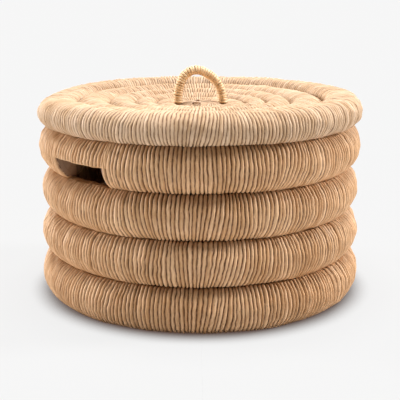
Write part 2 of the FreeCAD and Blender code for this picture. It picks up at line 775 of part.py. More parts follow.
def biarc(start, startWay, end, endWay):
    """Two arcs that join two points and leave each in its own direction."""
    span = end - start
    ways = startWay + endWay
    along, spread = span.dot(ways), 2 * (1 - startWay.dot(endWay))
    reach = (math.sqrt(along**2 + spread * span.dot(span)) - along) / spread
    first, last = start + startWay * reach, end - endWay * reach
    joint = (first + last) / 2
    return [tangentArc(start, first, joint), tangentArc(joint, last, end)]


def windingEdges():
    """Biarcs of half a turn, with a straight stretch one cane long at each end."""
    halfTurns = int(round(size("handleTurns").value() * 2))
    stations = [windingPoint(index / 2) for index in range(halfTurns + 1)]
    straight = size("handleCord").value()
    edges = [Part.LineSegment(stations[0][0] - stations[0][1] * straight, stations[0][0])]
    for (start, startWay), (end, endWay) in zip(stations, stations[1:]):
        edges += biarc(start, startWay, end, endWay)
    edges.append(Part.LineSegment(stations[-1][0], stations[-1][0] + stations[-1][1] * straight))
    return [edge.toShape() for edge in edges]


def leastGap(edges):
    """Least distance between points of the winding that lie three quarters of a turn apart or more.
    A turn is four edges, and two turns on nothing comes nearer again."""
    steps = 8
    apart, limit = 3 * steps, 8 * steps
    points = [edge.valueAt(edge.FirstParameter + (edge.LastParameter - edge.FirstParameter) * step / steps)
              for edge in edges for step in range(steps)]
    pairs = [(first, second) for first in range(len(points))
             for second in range(first + apart, min(first + limit, len(points)))]
    return min((points[first] - points[second]).Length for first, second in pairs)


windingRoute = windingEdges()
wire = Part.Wire(windingRoute)
startPoint = windingRoute[0].valueAt(windingRoute[0].FirstParameter)
startWay = windingRoute[0].tangentAt(windingRoute[0].FirstParameter)
cordRing = Part.Wire(Part.Circle(startPoint, startWay, size("handleCord").value() / 2).toShape())
winding = doc.addObject("Part::Feature", "handle_winding")
winding.Label = "handle_winding"
winding.Shape = wire.makePipeShell([cordRing], True, False)
spin = FreeCAD.Rotation(Vector(0, 0, 1), size("handleAngle").value())
winding.Placement = FreeCAD.Placement(Vector(), spin)
windingVolume = math.pi * size("handleCord").value() ** 2 / 4 * wire.Length
print(f"winding: least gap {leastGap(windingRoute) - size('handleCord').value():.2f} mm, "
      f"volume {winding.Shape.Volume:.0f} of {windingVolume:.0f} mm3")

doc.recompute()

# Every object has to be sound, and every cut has to take something away, before anything is written
pieces = [item for item in doc.Objects if item.TypeId == "PartDesign::Body"] + [winding]
for item in doc.Objects:
    if "Invalid" in item.State or "Error" in item.State:
        raise RuntimeError(f"{item.Name} failed: {item.State}")
    if item.TypeId in ("PartDesign::Groove", "PartDesign::Pocket"):
        if item.Shape.Volume >= item.BaseFeature.Shape.Volume - 1:
            raise RuntimeError(f"{item.Name} cuts nothing")
for piece in pieces:
    if piece.Shape.isNull() or not piece.Shape.isValid():
        raise RuntimeError(f"{piece.Label} has no valid shape")

os.makedirs("parts", exist_ok=True)
for piece in pieces:
    piece.Shape.exportStep(f"parts/{piece.Label}.step")
    box = piece.Shape.optimalBoundingBox(False)
    print(f"{piece.Label}: {len(piece.Shape.Solids)} solids, {piece.Shape.Volume:.0f} mm3, "
          f"z {box.ZMin:.1f} to {box.ZMax:.1f}")
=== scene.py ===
import math

import bpy
import numpy as np
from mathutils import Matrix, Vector


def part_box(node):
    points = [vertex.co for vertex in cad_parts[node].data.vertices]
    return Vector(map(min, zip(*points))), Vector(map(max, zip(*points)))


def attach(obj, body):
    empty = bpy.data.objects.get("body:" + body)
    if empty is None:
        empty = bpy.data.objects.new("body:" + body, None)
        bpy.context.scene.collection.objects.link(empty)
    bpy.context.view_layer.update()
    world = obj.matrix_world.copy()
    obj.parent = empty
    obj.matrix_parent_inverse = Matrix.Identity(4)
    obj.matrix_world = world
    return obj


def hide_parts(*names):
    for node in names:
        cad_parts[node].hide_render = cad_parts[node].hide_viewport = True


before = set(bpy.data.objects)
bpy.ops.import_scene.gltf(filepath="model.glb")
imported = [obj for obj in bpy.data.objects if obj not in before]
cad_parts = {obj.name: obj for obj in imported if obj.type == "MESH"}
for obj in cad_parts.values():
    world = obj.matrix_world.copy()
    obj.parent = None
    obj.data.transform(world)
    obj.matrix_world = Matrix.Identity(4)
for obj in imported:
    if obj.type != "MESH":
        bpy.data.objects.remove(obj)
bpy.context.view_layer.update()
mm = 0.001
full = 2 * math.pi

# Camera: where the photograph was taken from, in degrees, metres and millimetres of lens
camera = {"azimuth": -45.4, "elevation": 13.85, "distance": 1.1717, "height": 0.1077, "lens": 82.25}
turned, raised = math.radians(camera["azimuth"]), math.radians(camera["elevation"])
back = Vector((math.sin(turned) * math.cos(raised), -math.cos(turned) * math.cos(raised), math.sin(raised)))
eye = bpy.data.objects.new("camera", bpy.data.cameras.new("camera"))
eye.data.lens = camera["lens"]
eye.data.sensor_width = 36
eye.data.clip_end = 200
eye.location = Vector((0, 0, camera["height"])) + back * camera["distance"]
eye.rotation_mode = "QUATERNION"
eye.rotation_quaternion = (-back).to_track_quat("-Z", "Y")
bpy.context.scene.collection.objects.link(eye)
bpy.context.scene.camera = eye
print("camera placed")


# A socket of a node tree that takes part in arithmetic. Its node method makes any other node from a type,
# the values or links of its sockets, the output to go on with, and the node's settings.
class Shade:
    def __init__(self, tree, socket):
        self.tree, self.socket = tree, socket

    def node(self, kind, inputs, out=0, **settings):
        made = self.tree.nodes.new(kind)
        for key, value in settings.items():
            setattr(made, key, value)
        for key, value in inputs.items():
            if isinstance(value, Shade):
                self.tree.links.new(value.socket, made.inputs[key])
            else:
                made.inputs[key].default_value = value
        return Shade(self.tree, made.outputs[out])

    def sums(self, operation, first, *others):
        return self.node("ShaderNodeMath", dict(enumerate((first, *others))), operation=operation)

    def __add__(self, other):
        return self.sums("ADD", self, other)

    def __radd__(self, other):
        return self.sums("ADD", other, self)

    def __sub__(self, other):
        return self.sums("SUBTRACT", self, other)

    def __rsub__(self, other):
        return self.sums("SUBTRACT", other, self)

    def __mul__(self, other):
        return self.sums("MULTIPLY", self, other)

    def __rmul__(self, other):
        return self.sums("MULTIPLY", other, self)

    def vector(self, x, y, z=0.0):
        return self.node("ShaderNodeCombineXYZ", {0: x, 1: y, 2: z})

    def part(self, index):
        return self.node("ShaderNodeSeparateXYZ", {0: self}, out=index)

    def noise(self, scale, detail=2.0, roughness=0.5):
        return self.node("ShaderNodeTexNoise", {"Vector": self, "Scale": scale, "Detail": detail,
                                                "Roughness": roughness})

    # Runs from 0 to 1 while this value runs from low to high
    def step(self, low, high):
        return self.node("ShaderNodeMapRange", {"Value": self, "From Min": low, "From Max": high},
                         interpolation_type="SMOOTHSTEP")

    # From the first colour at 0 to the second at 1. Sockets 6 and 7 of the Mix node take the colours.
    def mix(self, first, second):
        made = self.tree.nodes.new("ShaderNodeMix")
        made.data_type = "RGBA"
        for index, value in ((0, self), (6, first), (7, second)):
            if isinstance(value, Shade):
                self.tree.links.new(value.socket, made.inputs[index])
            else:
                made.inputs[index].default_value = (*value, 1)
        return Shade(self.tree, made.outputs[2])


def newMaterial(name):
    material = bpy.data.materials.new(name)
    material.use_nodes = True
    shader = material.node_tree.nodes["Principled BSDF"]
    return material, material.node_tree, shader


# Wrapped cord. The map holds the turn's number plus the place across it, and the length along it in
# cord widths, so every turn gets its own tone, streaks run along it and its two edges go dark, a
# painted shade of the gaps between turns. Its lightness is a weighted sum of the turn's own tone, the
# streaks, the bands and wide patches.
def cordMaterial(name, look):
    material, tree, shader = newMaterial(name)
    start = Shade(tree, None)
    place = start.node("ShaderNodeUVMap", {}, uv_map="turns")
    across, along = place.part(0), place.part(1)
    turnNumber = across.sums("FLOOR", across)
    inTurn = across - turnNumber
    own = start.node("ShaderNodeTexWhiteNoise", {"Vector": start.vector(turnNumber, 3.7)}, out="Color",
                     noise_dimensions="2D")
    tone, hue, rough = own.part(0), own.part(1), own.part(2)
    # Each turn looks at another place of the noise, so that none repeats its neighbour's pattern
    fibrePlace = start.vector(inTurn * look["fibresAcross"] + turnNumber * 17.3, along * 0.45)
    fibres = fibrePlace.noise(1.0, 3.0, 0.62)
    bands = start.vector(inTurn * 1.4 + turnNumber * 5.1, along * 0.35, 4.0).noise(1.0, 2.0)
    spot = start.vector(inTurn * 3.0 + turnNumber * 9.7, along * 1.1, 8.0).noise(1.6, 1.0)
    patches = start.node("ShaderNodeTexCoord", {}, out="Object").noise(look["patchScale"], 2.0)
    light = tone * look["toneShare"] + fibres * look["fibreShare"] + bands * look["bandShare"]
    light = light + patches * look["patchShare"] - look["darker"]
    shade = light.step(0.12, 0.88).mix(look["dark"], look["pale"])
    shade = (hue * look["hueShare"]).mix(shade, look["warm"])
    shade = (spot.step(0.70, 0.80) * look["specks"]).mix(shade, look["speck"])
    # Each turn's two edges darken, broken into dashes: painted shade of the gaps between turns
    offMiddle = inTurn - 0.5
    edge = (offMiddle.sums("ABSOLUTE", offMiddle) * 2.0).step(look["edgeFrom"], 1.0)
    gaps = start.vector(turnNumber * 3.1 + inTurn, along * 0.9, 2.0).noise(1.0, 2.0).step(0.3, 0.62)
    shade = (edge * (gaps * 0.6 + 0.4) * look["edgeShare"]).mix(shade, look["edge"])
    tree.links.new(shade.socket, shader.inputs["Base Color"])
    tree.links.new((rough * 0.14 + fibres * 0.2 + look["roughness"]).socket, shader.inputs["Roughness"])
    bump = start.node("ShaderNodeBump", {"Height": fibres * 0.7 + bands * 0.5, "Distance": look["bump"],
                                         "Strength": 0.8})
    tree.links.new(bump.socket, shader.inputs["Normal"])
    shader.inputs["Specular IOR Level"].default_value = look["specular"]
    return material


# Colours of the fibre, the shares that mix them, the edge that darkens from a share of a turn's half width
# on (painted shade of the gaps between turns), and the bump in metres
wallLook = {"pale": (0.8, 0.52, 0.305), "dark": (0.42, 0.212, 0.082), "warm": (0.51, 0.26, 0.1),
            "speck": (0.1, 0.045, 0.018), "edge": (0.055, 0.014, 0.002), "toneShare": 0.24,
            "fibreShare": 0.8, "bandShare": 0.4, "patchShare": 0.35, "patchScale": 9.0, "darker": 0.4,
            "hueShare": 0.3, "specks": 0.7, "edgeFrom": 0.34, "edgeShare": 1.0, "fibresAcross": 5.0,
            "roughness": 0.45, "bump": 0.0006, "specular": 0.35}
# The lid is paler, less saturated and less dark at its edges than the wall: painted light for its bright
# top
lidLook = dict(wallLook, pale=(0.73, 0.535, 0.375), dark=(0.4, 0.24, 0.12), warm=(0.56, 0.33, 0.16),
               edge=(0.1, 0.038, 0.009), edgeFrom=0.36, specks=0.9)
# The handle's cane is smooth and glossy
caneLook = dict(wallLook, pale=(0.92, 0.68, 0.42), dark=(0.68, 0.42, 0.19), warm=(0.74, 0.46, 0.2),
                edge=(0.3, 0.13, 0.04), edgeFrom=0.45, fibresAcross=3.0, roughness=0.22, specular=0.5,
                bump=0.0002, specks=0.3)
stitchLook = dict(wallLook, specks=0.2, edgeShare=0.3)
wallCord, lidCord = cordMaterial("wall_cord", wallLook), cordMaterial("lid_cord", lidLook)
caneSkin, stitchCord = cordMaterial("cane_skin", caneLook), cordMaterial("stitch_cord", stitchLook)
print("materials made")


# A mesh of quads and a few many-sided lids, with a place on the "turns" map for every corner of a quad.
# A lid's corners lie at the map's start, which is dark: painted shade on the closed ends.
def newPiece(name, points, quads, corners, material, lids=()):
    mesh = bpy.data.meshes.new(name)
    points, quads = points.reshape(-1, 3), quads.reshape(-1, 4)
    loops = np.concatenate([quads.ravel(), *lids]).astype(np.int32)
    sizes = np.array([4] * len(quads) + [len(lid) for lid in lids], np.int32)
    mesh.vertices.add(len(points))
    mesh.vertices.foreach_set("co", points.astype(np.float32).ravel())
    mesh.loops.add(len(loops))
    mesh.loops.foreach_set("vertex_index", loops)
    mesh.polygons.add(len(sizes))
    starts = np.concatenate([[0], np.cumsum(sizes)[:-1]])
    mesh.polygons.foreach_set("loop_start", starts.astype(np.int32))
    mesh.polygons.foreach_set("use_smooth", np.ones(len(sizes), bool))
    mesh.update(calc_edges=True)
    layer = mesh.uv_layers.new(name="turns")
    spare = len(loops) - 4 * len(quads)
    places = np.concatenate([corners.reshape(-1), np.zeros(2 * spare)])
    layer.data.foreach_set("uv", places.astype(np.float32))
    mesh.materials.append(material)
    piece = bpy.data.objects.new(name, mesh)
    bpy.context.scene.collection.objects.link(piece)
    return piece


# A piece rides its body and stands for the nodes that it replaces
def settle(piece, body, slotName, *nodes):
    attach(piece, body)
    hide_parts(*nodes)


def joinTo(first, pieces):
    bpy.ops.object.select_all(action="DESELECT")
    for piece in pieces:
        piece.select_set(True)
    bpy.context.view_layer.objects.active = first
    bpy.ops.object.join()


# Quads of a grid of points whose columns close into a ring, and the points' numbers
def ringQuads(rows, sides):
    index = np.arange(rows * sides).reshape(rows, sides)
    beside = np.roll(index, -1, 1)
    return np.stack([index[:-1], beside[:-1], beside[1:], index[1:]], axis=-1), index


edgePoints = 48  # points worked out along each edge of a section before its rows are spaced


# A closed section from its corners, anticlockwise, and the rise of the arc on each edge: steady steps
# along it, and its outward direction at each. An arc's points are its middle plus radius times the
# sine along the chord, and radius times the cosine across it.
def sectionLoop(corners, rises, rows):
    corners = np.array(corners, float) * mm
    line = []
    for here, rise in enumerate(np.array(rises, float) * mm):
        start, end = corners[here], corners[(here + 1) % len(corners)]
        share = np.linspace(0, 1, edgePoints, endpoint=False)[:, None]
        if rise == 0:
            line.append(start + (end - start) * share)
            continue
        chord = np.linalg.norm(end - start)
        along = (end - start) / chord
        across = np.array([along[1], -along[0]])
        radius = (chord**2 / 4 + rise**2) / (2 * rise)
        reach = math.atan2(chord / 2, radius - rise)
        angle = reach * (2 * share - 1)
        middle = (start + end) / 2 + across * (rise - radius)
        line.append(middle + along * (radius * np.sin(angle)) + across * (radius * np.cos(angle)))
    line = np.concatenate(line)
    closed = np.concatenate([line, line[:1]])
    length = np.concatenate([[0], np.cumsum(np.linalg.norm(np.diff(closed, axis=0), axis=1))])
    at = length[-1] * np.arange(rows) / rows
    points = np.stack([np.interp(at, length, closed[:, axis]) for axis in (0, 1)], axis=1)
    tangent = np.roll(points, -1, 0) - np.roll(points, 1, 0)
    tangent /= np.linalg.norm(tangent, axis=1)[:, None]
    return points, np.stack([tangent[:, 1], -tangent[:, 0]], axis=1), length[-1]


# On the map, the far edge of a turn keeps just inside it, so that no corner counts as the next turn's
justInside = 0.0008


# Smooth noise round a ring: a sum of sines with whole numbers of waves and random phases
def ringNoise(draw, angle, waves):
    total = 0
    for count in waves:
        total = total + math.sqrt(1 / len(waves)) * np.sin(count * angle + draw.uniform(0, full))
    return total * 1.2


# Cord wound round a section that is carried round the axis. Each turn lies between two bounds, and
# each bound moves on by one turn each time round, leans and wanders, so the whole ring is one
# winding. Across a turn the surface is a crest that falls by one minus the root of one minus x squared,
# where x runs from the turn's middle to its filled share. A point is the section's own, plus its outward
# direction times that height, turned by its place among the turns.
def windCoil(name, section, wind, material, number):
    points, outward, length = section
    rows, turns, columns = len(points), wind["turns"], wind["columns"]
    draw = np.random.default_rng(number)
    begin, end = wind.get("from", 0.0), wind.get("to", 360.0)
    closed = end - begin == 360.0
    share = (np.arange(rows) / rows)[:, None]
    bounds = np.arange(turns + 1)[None, :]
    angle = math.radians(begin) + math.radians(end - begin) * bounds / turns
    spread = draw.normal(0, wind["uneven"], turns + 2).clip(-0.3, 0.3)
    if closed:
        spread[turns], spread[turns + 1] = spread[0], spread[1]
    ease = share * share * (3 - 2 * share)
    place = bounds + share * closed + spread[None, :-1] * (1 - ease) + spread[None, 1:] * ease
    wander = [draw.normal(0, wind["wander"] / wave, turns + 1).clip(-0.25, 0.25) for wave in (1, 2, 3)]
    for wave, part in enumerate(wander, start=1):
        if closed:
            part[turns] = part[0]
        place = place + part[None, :] * np.sin(full * wave * share)
    # Shorter waves along each bound, which its neighbours partly share
    for wave in wind["rippleWaves"]:
        own = draw.normal(0, wind["wiggle"], turns + 1)
        own = (own + 0.35 * np.roll(own, 1)).clip(-0.12, 0.12)
        phase = draw.uniform(0, full, turns + 1)
        phase = np.cumsum((phase - math.pi) * 0.25)
        if closed:
            phase = phase - phase[0] - (phase[turns] - phase[0]) * np.arange(turns + 1) / turns
            own[turns] = own[0]
            phase[turns] = 0
        ripple = np.sin(full * wave * share + phase[None, :]) - np.sin(phase)[None, :]
        place = place + own[None, :] * ripple
    lean = ringNoise(draw, angle + 0 * share, wind["leanWaves"]) * wind["lean"]
    if not closed:
        # The turns stand straight at both ends
        lean = lean * np.minimum(1, np.minimum(bounds, turns - bounds) / wind["straightens"])
    place = place + lean * np.sin(full * (share - wind["middle"]))
    left, right = place[:, :-1], place[:, 1:]
    groove = wind["groove"] * mm * draw.uniform(0.65, 1.35, (1, turns + 1))
    crest = draw.normal(0, wind["crest"] * mm, (1, turns))
    if closed:
        groove[:, turns] = groove[:, 0]
    phase = draw.random((1, 1)) + bounds * 0.37 * (not closed)
    groove = groove + 0.25 * wind["groove"] * mm * np.sin(full * (2 * share + phase))
    swell = wind["swell"] * mm * ringNoise(draw, (angle[:, :-1] + share * 2), wind["swellWaves"])
    narrow = (points[:, 0] / points[:, 0].max())[:, None]
    cell = np.array(wind["cross"])[None, None, :]
    at = left[:, :, None] + (cell + 1) / 2 * (right - left)[:, :, None]
    fall = 1 - np.sqrt(np.maximum(0, 1 - (np.abs(cell) / wind["filled"]) ** 2))
    depth = np.where(cell < 0, groove[:, :-1, None], groove[:, 1:, None])
    arch = np.sin(np.pi * share)[:, :, None]
    top = crest[:, :, None] * arch + 0 * at
    # Knobs: the crest of each turn also rises and falls along it
    for wave in wind["knobWaves"]:
        phase = draw.uniform(0, full, (1, turns))
        bump = wind["knobs"] * mm * draw.normal(0, 0.6, (1, turns)).clip(-1, 1)
        top = top + (bump * np.sin(full * wave * share + phase))[:, :, None] * arch
    height = ((points[:, 1] - points[:, 1].min()) / np.ptp(points[:, 1]))[:, None, None]
    depth = depth * (1 - wind.get("shallow", 0) * height)
    offset = (top - (top + depth) * fall) * narrow[:, :, None] + swell[:, :, None] * (1 - fall)
    at, offset = at.reshape(rows, -1), offset.reshape(rows, -1)
    if not closed:
        at = np.concatenate([at, right[:, -1:]], axis=1)
        offset = np.concatenate([offset, -groove[:, -1:] * narrow], axis=1)
    turnAngle = math.radians(begin) + math.radians(end - begin) * at / turns
    radius = points[:, :1] + outward[:, :1] * offset
    level = np.maximum(points[:, 1:] + outward[:, 1:] * offset, points[:, 1].min())
    if not closed:
        # Each end is rounded off: the section shrinks to its middle in steps, each from the one before
        middleR, middleZ = points.mean(0)
        for side in (0, -1):
            for shrink, push in wind["ends"]:
                newR = middleR + (radius[:, side] - middleR) * shrink if shrink < 1 else radius[:, side]
                newZ = middleZ + (level[:, side] - middleZ) * shrink
                sign = -1 if side == 0 else 1
                edgeAngle = turnAngle[:, side] + sign * push * mm / middleR
                if side == 0:
                    radius, level = np.column_stack([newR, radius]), np.column_stack([newZ, level])
                    turnAngle = np.column_stack([edgeAngle, turnAngle])
                else:
                    radius, level = np.column_stack([radius, newR]), np.column_stack([level, newZ])
                    turnAngle = np.column_stack([turnAngle, edgeAngle])
    if "dip" in wind:
        # The whole coil sinks by a bell curve of the angle, most at its crown and not at its underside
        centre, width, fallen = wind["dip"]
        bell = np.exp(-((np.degrees(turnAngle) - centre) / width) ** 2)
        height = ((level - points[:, 1].min()) / np.ptp(points[:, 1])).clip(0, 1)
        level = level - fallen * mm * bell * height**0.7
    places = np.stack([radius * np.cos(turnAngle), radius * np.sin(turnAngle), level], axis=-1)
    total = places.shape[1]
    index = np.arange(rows * total).reshape(rows, total)
    lids = []
    if closed:
        # Round the section, the last row runs on into the first row of the next turn
        below = np.concatenate([index, np.roll(index[:1], -columns, axis=1)])
        beside = np.roll(below, -1, 1)
        quads = np.stack([below[:-1], beside[:-1], beside[1:], below[1:]], axis=-1)
    else:
        below = np.concatenate([index, index[:1]])
        quads = np.stack([below[:-1, :-1], below[:-1, 1:], below[1:, 1:], below[1:, :-1]], axis=-1)
        lids = [index[:, 0], index[::-1, -1]]
    count = quads.shape[1]
    extra = 0 if closed else len(wind["ends"])
    across = (np.arange(count + 1) - extra).clip(0, turns * columns) / columns + 300 * number
    along = np.arange(rows + 1) / rows * length / wind["cord"]
    uv = np.zeros((rows, count, 4, 2))
    uv[..., 0] = np.stack([across[:-1], across[1:], across[1:], across[:-1]], axis=-1)[None]
    uv[..., 1] = np.stack([along[:-1], along[:-1], along[1:], along[1:]], axis=-1)[:, None]
    uv[..., 1:3, 0] -= justInside
    # A rounded end has one dark tone, painted shade
    if not closed:
        uv[:, :extra, :, 1] = 0
        uv[:, count - extra:, :, 1] = 0
    return newPiece(name, places, quads, uv, material, lids)


# The wall's coils stand on flat bands and bulge on both sides. Sizes in millimetres, leans and the other
# moves of a bound in turns, the middle of the outer side as a share of the way round the section. An end
# is steps of its size and of how far it is pushed out.
wall = {"width": 42.0, "tall": 53.0, "flat": 12.0, "rows": 54}
wallWind = {"turns": 258, "columns": 6, "cord": 0.0048, "middle": 0.29, "uneven": 0.1, "wander": 0.07,
            "wiggle": 0.028, "rippleWaves": (5, 8, 11), "lean": 0.45, "leanWaves": (3, 5, 8, 12, 19),
            "straightens": 14, "groove": 2.7, "crest": 0.35, "knobs": 0.16, "knobWaves": (6, 9, 13),
            "swell": 0.4, "swellWaves": (7, 11, 17, 29), "filled": 0.82,
            "cross": (-1.0, -0.74, -0.42, 0.0, 0.42, 0.74),
            "ends": ((1.0, 0.8), (0.95, 1.8), (0.85, 2.5), (0.65, 2.9), (0.35, 3.1), (0.12, 3.2))}


# A standing coil's section: flat below and on top, with an arc on each side
def standingLoop(outer, low):
    middle, half, rise = outer - wall["width"] / 2, wall["flat"] / 2, (wall["width"] - wall["flat"]) / 2
    top = low + wall["tall"]
    corners = [(middle - half, low), (middle + half, low), (middle + half, top), (middle - half, top)]
    return sectionLoop(corners, [0, rise, 0, rise], wall["rows"])


for number, (name, outer) in enumerate((("foot", 201.0), ("belly", 199.0), ("shoulder", 198.0))):
    coil = windCoil(f"{name}_coil", standingLoop(outer, wall["tall"] * number), wallWind, wallCord, number)
    settle(coil, "basket", "fibre_cord", f"{name}_coil_wrap", f"{name}_coil_core")
print("wall wound")


# The top coil is wound in two arcs between the hand slots, with a grip over each slot. The slot's half
# width and how far the grip's ends sink into the arcs are in degrees, the rest in millimetres.
slots = {"half": 12.2, "gripUnder": 180.5, "gripEdge": 185.0, "outer": 199.5, "turns": 111,
         "gripTurns": 19, "gripRows": 28, "sunk": 2.0}
topLow, topHigh = 3 * wall["tall"], 4 * wall["tall"]
topMiddle = slots["outer"] - wall["width"] / 2
arcTall, arcRise = wall["tall"], (wall["width"] - wall["flat"]) / 2
arcRadius = (arcTall**2 / 4 + arcRise**2) / (2 * arcRise)
edgeLevel = slots["gripEdge"] - topLow - arcTall / 2
gripHalf = math.sqrt(arcRadius**2 - edgeLevel**2) - (arcRadius - wall["width"] / 2)
sideChord = math.hypot(gripHalf - wall["flat"] / 2, topHigh - slots["gripEdge"])
sideBulge = arcRadius - math.sqrt(arcRadius**2 - sideChord**2 / 4)
gripCorners = [(topMiddle - gripHalf, slots["gripEdge"]), (topMiddle + gripHalf, slots["gripEdge"]),
               (topMiddle + wall["flat"] / 2, topHigh), (topMiddle - wall["flat"] / 2, topHigh)]
gripRises = [slots["gripEdge"] - slots["gripUnder"], sideBulge, 0, sideBulge]
gripLoop = sectionLoop(gripCorners, gripRises, slots["gripRows"])
arcLoop = standingLoop(slots["outer"], topLow)
topPieces = []
for number, middleAngle in ((3, 90.0), (4, 270.0)):
    wind = dict(wallWind, turns=slots["turns"])
    wind["from"], wind["to"] = middleAngle - 90 + slots["half"], middleAngle + 90 - slots["half"]
    topPieces.append(windCoil(f"top_arc_{number}", arcLoop, wind, wallCord, number))
for number, middleAngle in ((5, 0.0), (6, 180.0)):
    wind = dict(wallWind, turns=slots["gripTurns"], middle=0.45, lean=0.3)
    reach = slots["half"] + slots["sunk"]
    wind["from"], wind["to"] = middleAngle - reach, middleAngle + reach
    topPieces.append(windCoil(f"grip_{number}", gripLoop, wind, wallCord, number))
joinTo(topPieces[0], topPieces)
topPieces[0].name = "top_coil"
topNodes = ("top_coil_wrap", "grip_core", "filler_core_left", "filler_core_right")
settle(topPieces[0], "basket", "fibre_cord", *topNodes)
print("top coil wound")


# Flat coils of the floor and the lid: upright sides, with an arc above and one below
def flatLoop(inner, outer, low, high, crown, rows):
    corners = [(inner, low + crown), (outer, low + crown), (outer, high - crown), (inner, high - crown)]
    return sectionLoop(corners, [crown, 0, crown, 0], rows)


# A hub is wound from its middle out and back below: radial turns that swirl into the middle. Its
# outline runs along the flat top, over the rounded edge and along the flat underside, and is carried
# round the axis. Across a turn the surface falls by one minus the root of one minus x to the power 2.4.
def windHub(name, hub, material, number):
    draw = np.random.default_rng(number)
    turns, columns, rows = hub["turns"], wallWind["columns"], hub["rows"]
    radius, low, high, crown = (hub[key] for key in ("radius", "low", "high", "crown"))
    flat = radius / 2
    lead = radius - flat
    bend = (lead**2 + crown**2) / (2 * crown)
    reach = math.atan2(lead, bend - crown)
    angle = np.linspace(0, reach, 16)[1:]
    inside = np.linspace(0.6, flat, 12)
    r = np.concatenate([inside, flat + bend * np.sin(angle)])
    z = np.concatenate([high + 0 * inside, high - bend * (1 - np.cos(angle))])
    outAndBack = [np.concatenate([r, r[::-1]]), np.concatenate([z, (low + high) - z[::-1]])]
    line = np.stack(outAndBack, axis=1) * mm
    length = np.concatenate([[0], np.cumsum(np.linalg.norm(np.diff(line, axis=0), axis=1))])
    at = np.linspace(0, length[-1], rows)
    points = np.stack([np.interp(at, length, line[:, axis]) for axis in (0, 1)], axis=1)
    tangent = np.gradient(points, axis=0)
    tangent /= np.linalg.norm(tangent, axis=1)[:, None]
    outward = np.stack([-tangent[:, 1], tangent[:, 0]], axis=1)
    if outward[0, 1] < 0:
        outward = -outward
    cross = np.linspace(-1, 1, columns, endpoint=False)
    spread = draw.normal(0, wallWind["uneven"], turns).clip(-0.25, 0.25)
    following = np.roll(spread, -1)
    left = np.arange(turns) + spread
    right = np.arange(turns) + 1 + following
    inTurn = left[:, None] + (cross[None, :] + 1) / 2 * (right - left)[:, None]
    inward = 1 - points[:, 0] / (radius * mm)
    around = full * inTurn.reshape(1, -1) / turns + math.radians(hub["swirl"]) * (inward**1.6)[:, None]
    fall = 1 - np.sqrt(1 - np.abs(cross) ** 2.4)
    deepening = np.minimum(1, points[:, 0] / (0.6 * radius * mm))[:, None]
    groove = np.tile(fall, turns)[None, :] * hub["groove"] * mm * deepening
    r = points[:, :1] - outward[:, :1] * groove
    z = points[:, 1:] - outward[:, 1:] * groove
    places = np.stack([r * np.cos(around), r * np.sin(around), z], axis=-1)
    total = turns * columns
    index = np.arange(rows * total).reshape(rows, total)
    beside = np.roll(index, -1, 1)
    quads = np.stack([index[:-1], index[1:], beside[1:], beside[:-1]], axis=-1)
    across = np.arange(total + 1) / columns + 300 * number
    along = at / wallWind["cord"]
    uv = np.zeros((rows - 1, total, 4, 2))
    far = across[1:] - justInside
    uv[..., 0] = np.stack([across[:-1], across[:-1], far, far], axis=-1)[None]
    uv[..., 1] = np.stack([along[:-1], along[1:], along[1:], along[:-1]], axis=-1)[:, None]
    return newPiece(name, places, quads, uv, material, [index[0], index[-1, ::-1]])


# The floor, in millimetres. Name, inner and outer radius and turns of each ring.
floor = {"low": 5.0, "high": 38.0, "crown": 7.0}
floorWind = dict(wallWind, lean=0.5, middle=0.72)
floorCoils = (("outer", 117.1, 158.9, 206), ("middle", 75.1, 116.9, 152), ("inner", 33.1, 74.9, 98))
for number, (name, inner, outer, turns) in enumerate(floorCoils, start=7):
    section = flatLoop(inner, outer, floor["low"], floor["high"], floor["crown"], 24)
    coil = windCoil(f"{name}_floor_coil", section, dict(floorWind, turns=turns), wallCord, number)
    settle(coil, "basket", "fibre_cord", f"{name}_floor_coil_wrap", f"{name}_floor_coil_core")
floorHub = dict(floor, turns=42, rows=40, radius=32.9, groove=1.4, swirl=80.0)
hub = windHub("floor_hub", floorHub, wallCord, 10)
settle(hub, "basket", "fibre_cord", "floor_hub_wrap", "floor_hub_core")
print("floor wound")


# The lid's rim, in millimetres: a round outer side that rests on the top coil, and a softer inner edge,
# whose arcs lead away from a level line and drop
rim = {"inner": 154.0, "lid": 200.0, "round": 18.5, "low": 212.0, "high": 246.66, "topLead": 15,
       "topDrop": 14, "lowLead": 12, "lowDrop": 10, "rows": 42}
roundMiddle = rim["lid"] - rim["round"]
seatEnd = roundMiddle + math.sqrt(rim["round"] ** 2 - (rim["high"] - rim["round"] - rim["low"]) ** 2)
roundChord = math.hypot(seatEnd - roundMiddle, rim["high"] - rim["low"])
rimBulge = rim["round"] - math.sqrt(rim["round"] ** 2 - roundChord**2 / 4)


# Rise of an arc over its chord, where the arc leaves a level line smoothly and drops over a lead
def edgeBulge(lead, drop):
    radius, chord = (lead**2 + drop**2) / (2 * drop), math.hypot(lead, drop)
    return radius - math.sqrt(radius**2 - chord**2 / 4)


rimCorners = [(rim["inner"] + rim["lowLead"], rim["low"]), (seatEnd, rim["low"]),
              (roundMiddle, rim["high"]), (rim["inner"] + rim["topLead"], rim["high"]),
              (rim["inner"], rim["high"] - rim["topDrop"]), (rim["inner"], rim["low"] + rim["lowDrop"])]
rimRises = [0, rimBulge, 0, edgeBulge(rim["topLead"], rim["topDrop"]), 0,
            edgeBulge(rim["lowLead"], rim["lowDrop"])]
rimLoop = sectionLoop(rimCorners, rimRises, rim["rows"])
lidWind = dict(wallWind, groove=2.0, lean=0.5, leanWaves=(5, 8, 11, 15))
# The rim has settled a little on one side: the dip's middle and width in degrees and its depth in
# millimetres. Its grooves are shallower by a share towards its crown.
rimWind = dict(lidWind, turns=296, middle=0.3, groove=2.7, dip=(131.0, 26.0, 5.6), shallow=0.55)
coil = windCoil("lid_rim_coil", rimLoop, rimWind, lidCord, 11)
settle(coil, "lid", "fibre_cord", "lid_rim_coil_wrap", "lid_rim_coil_core")
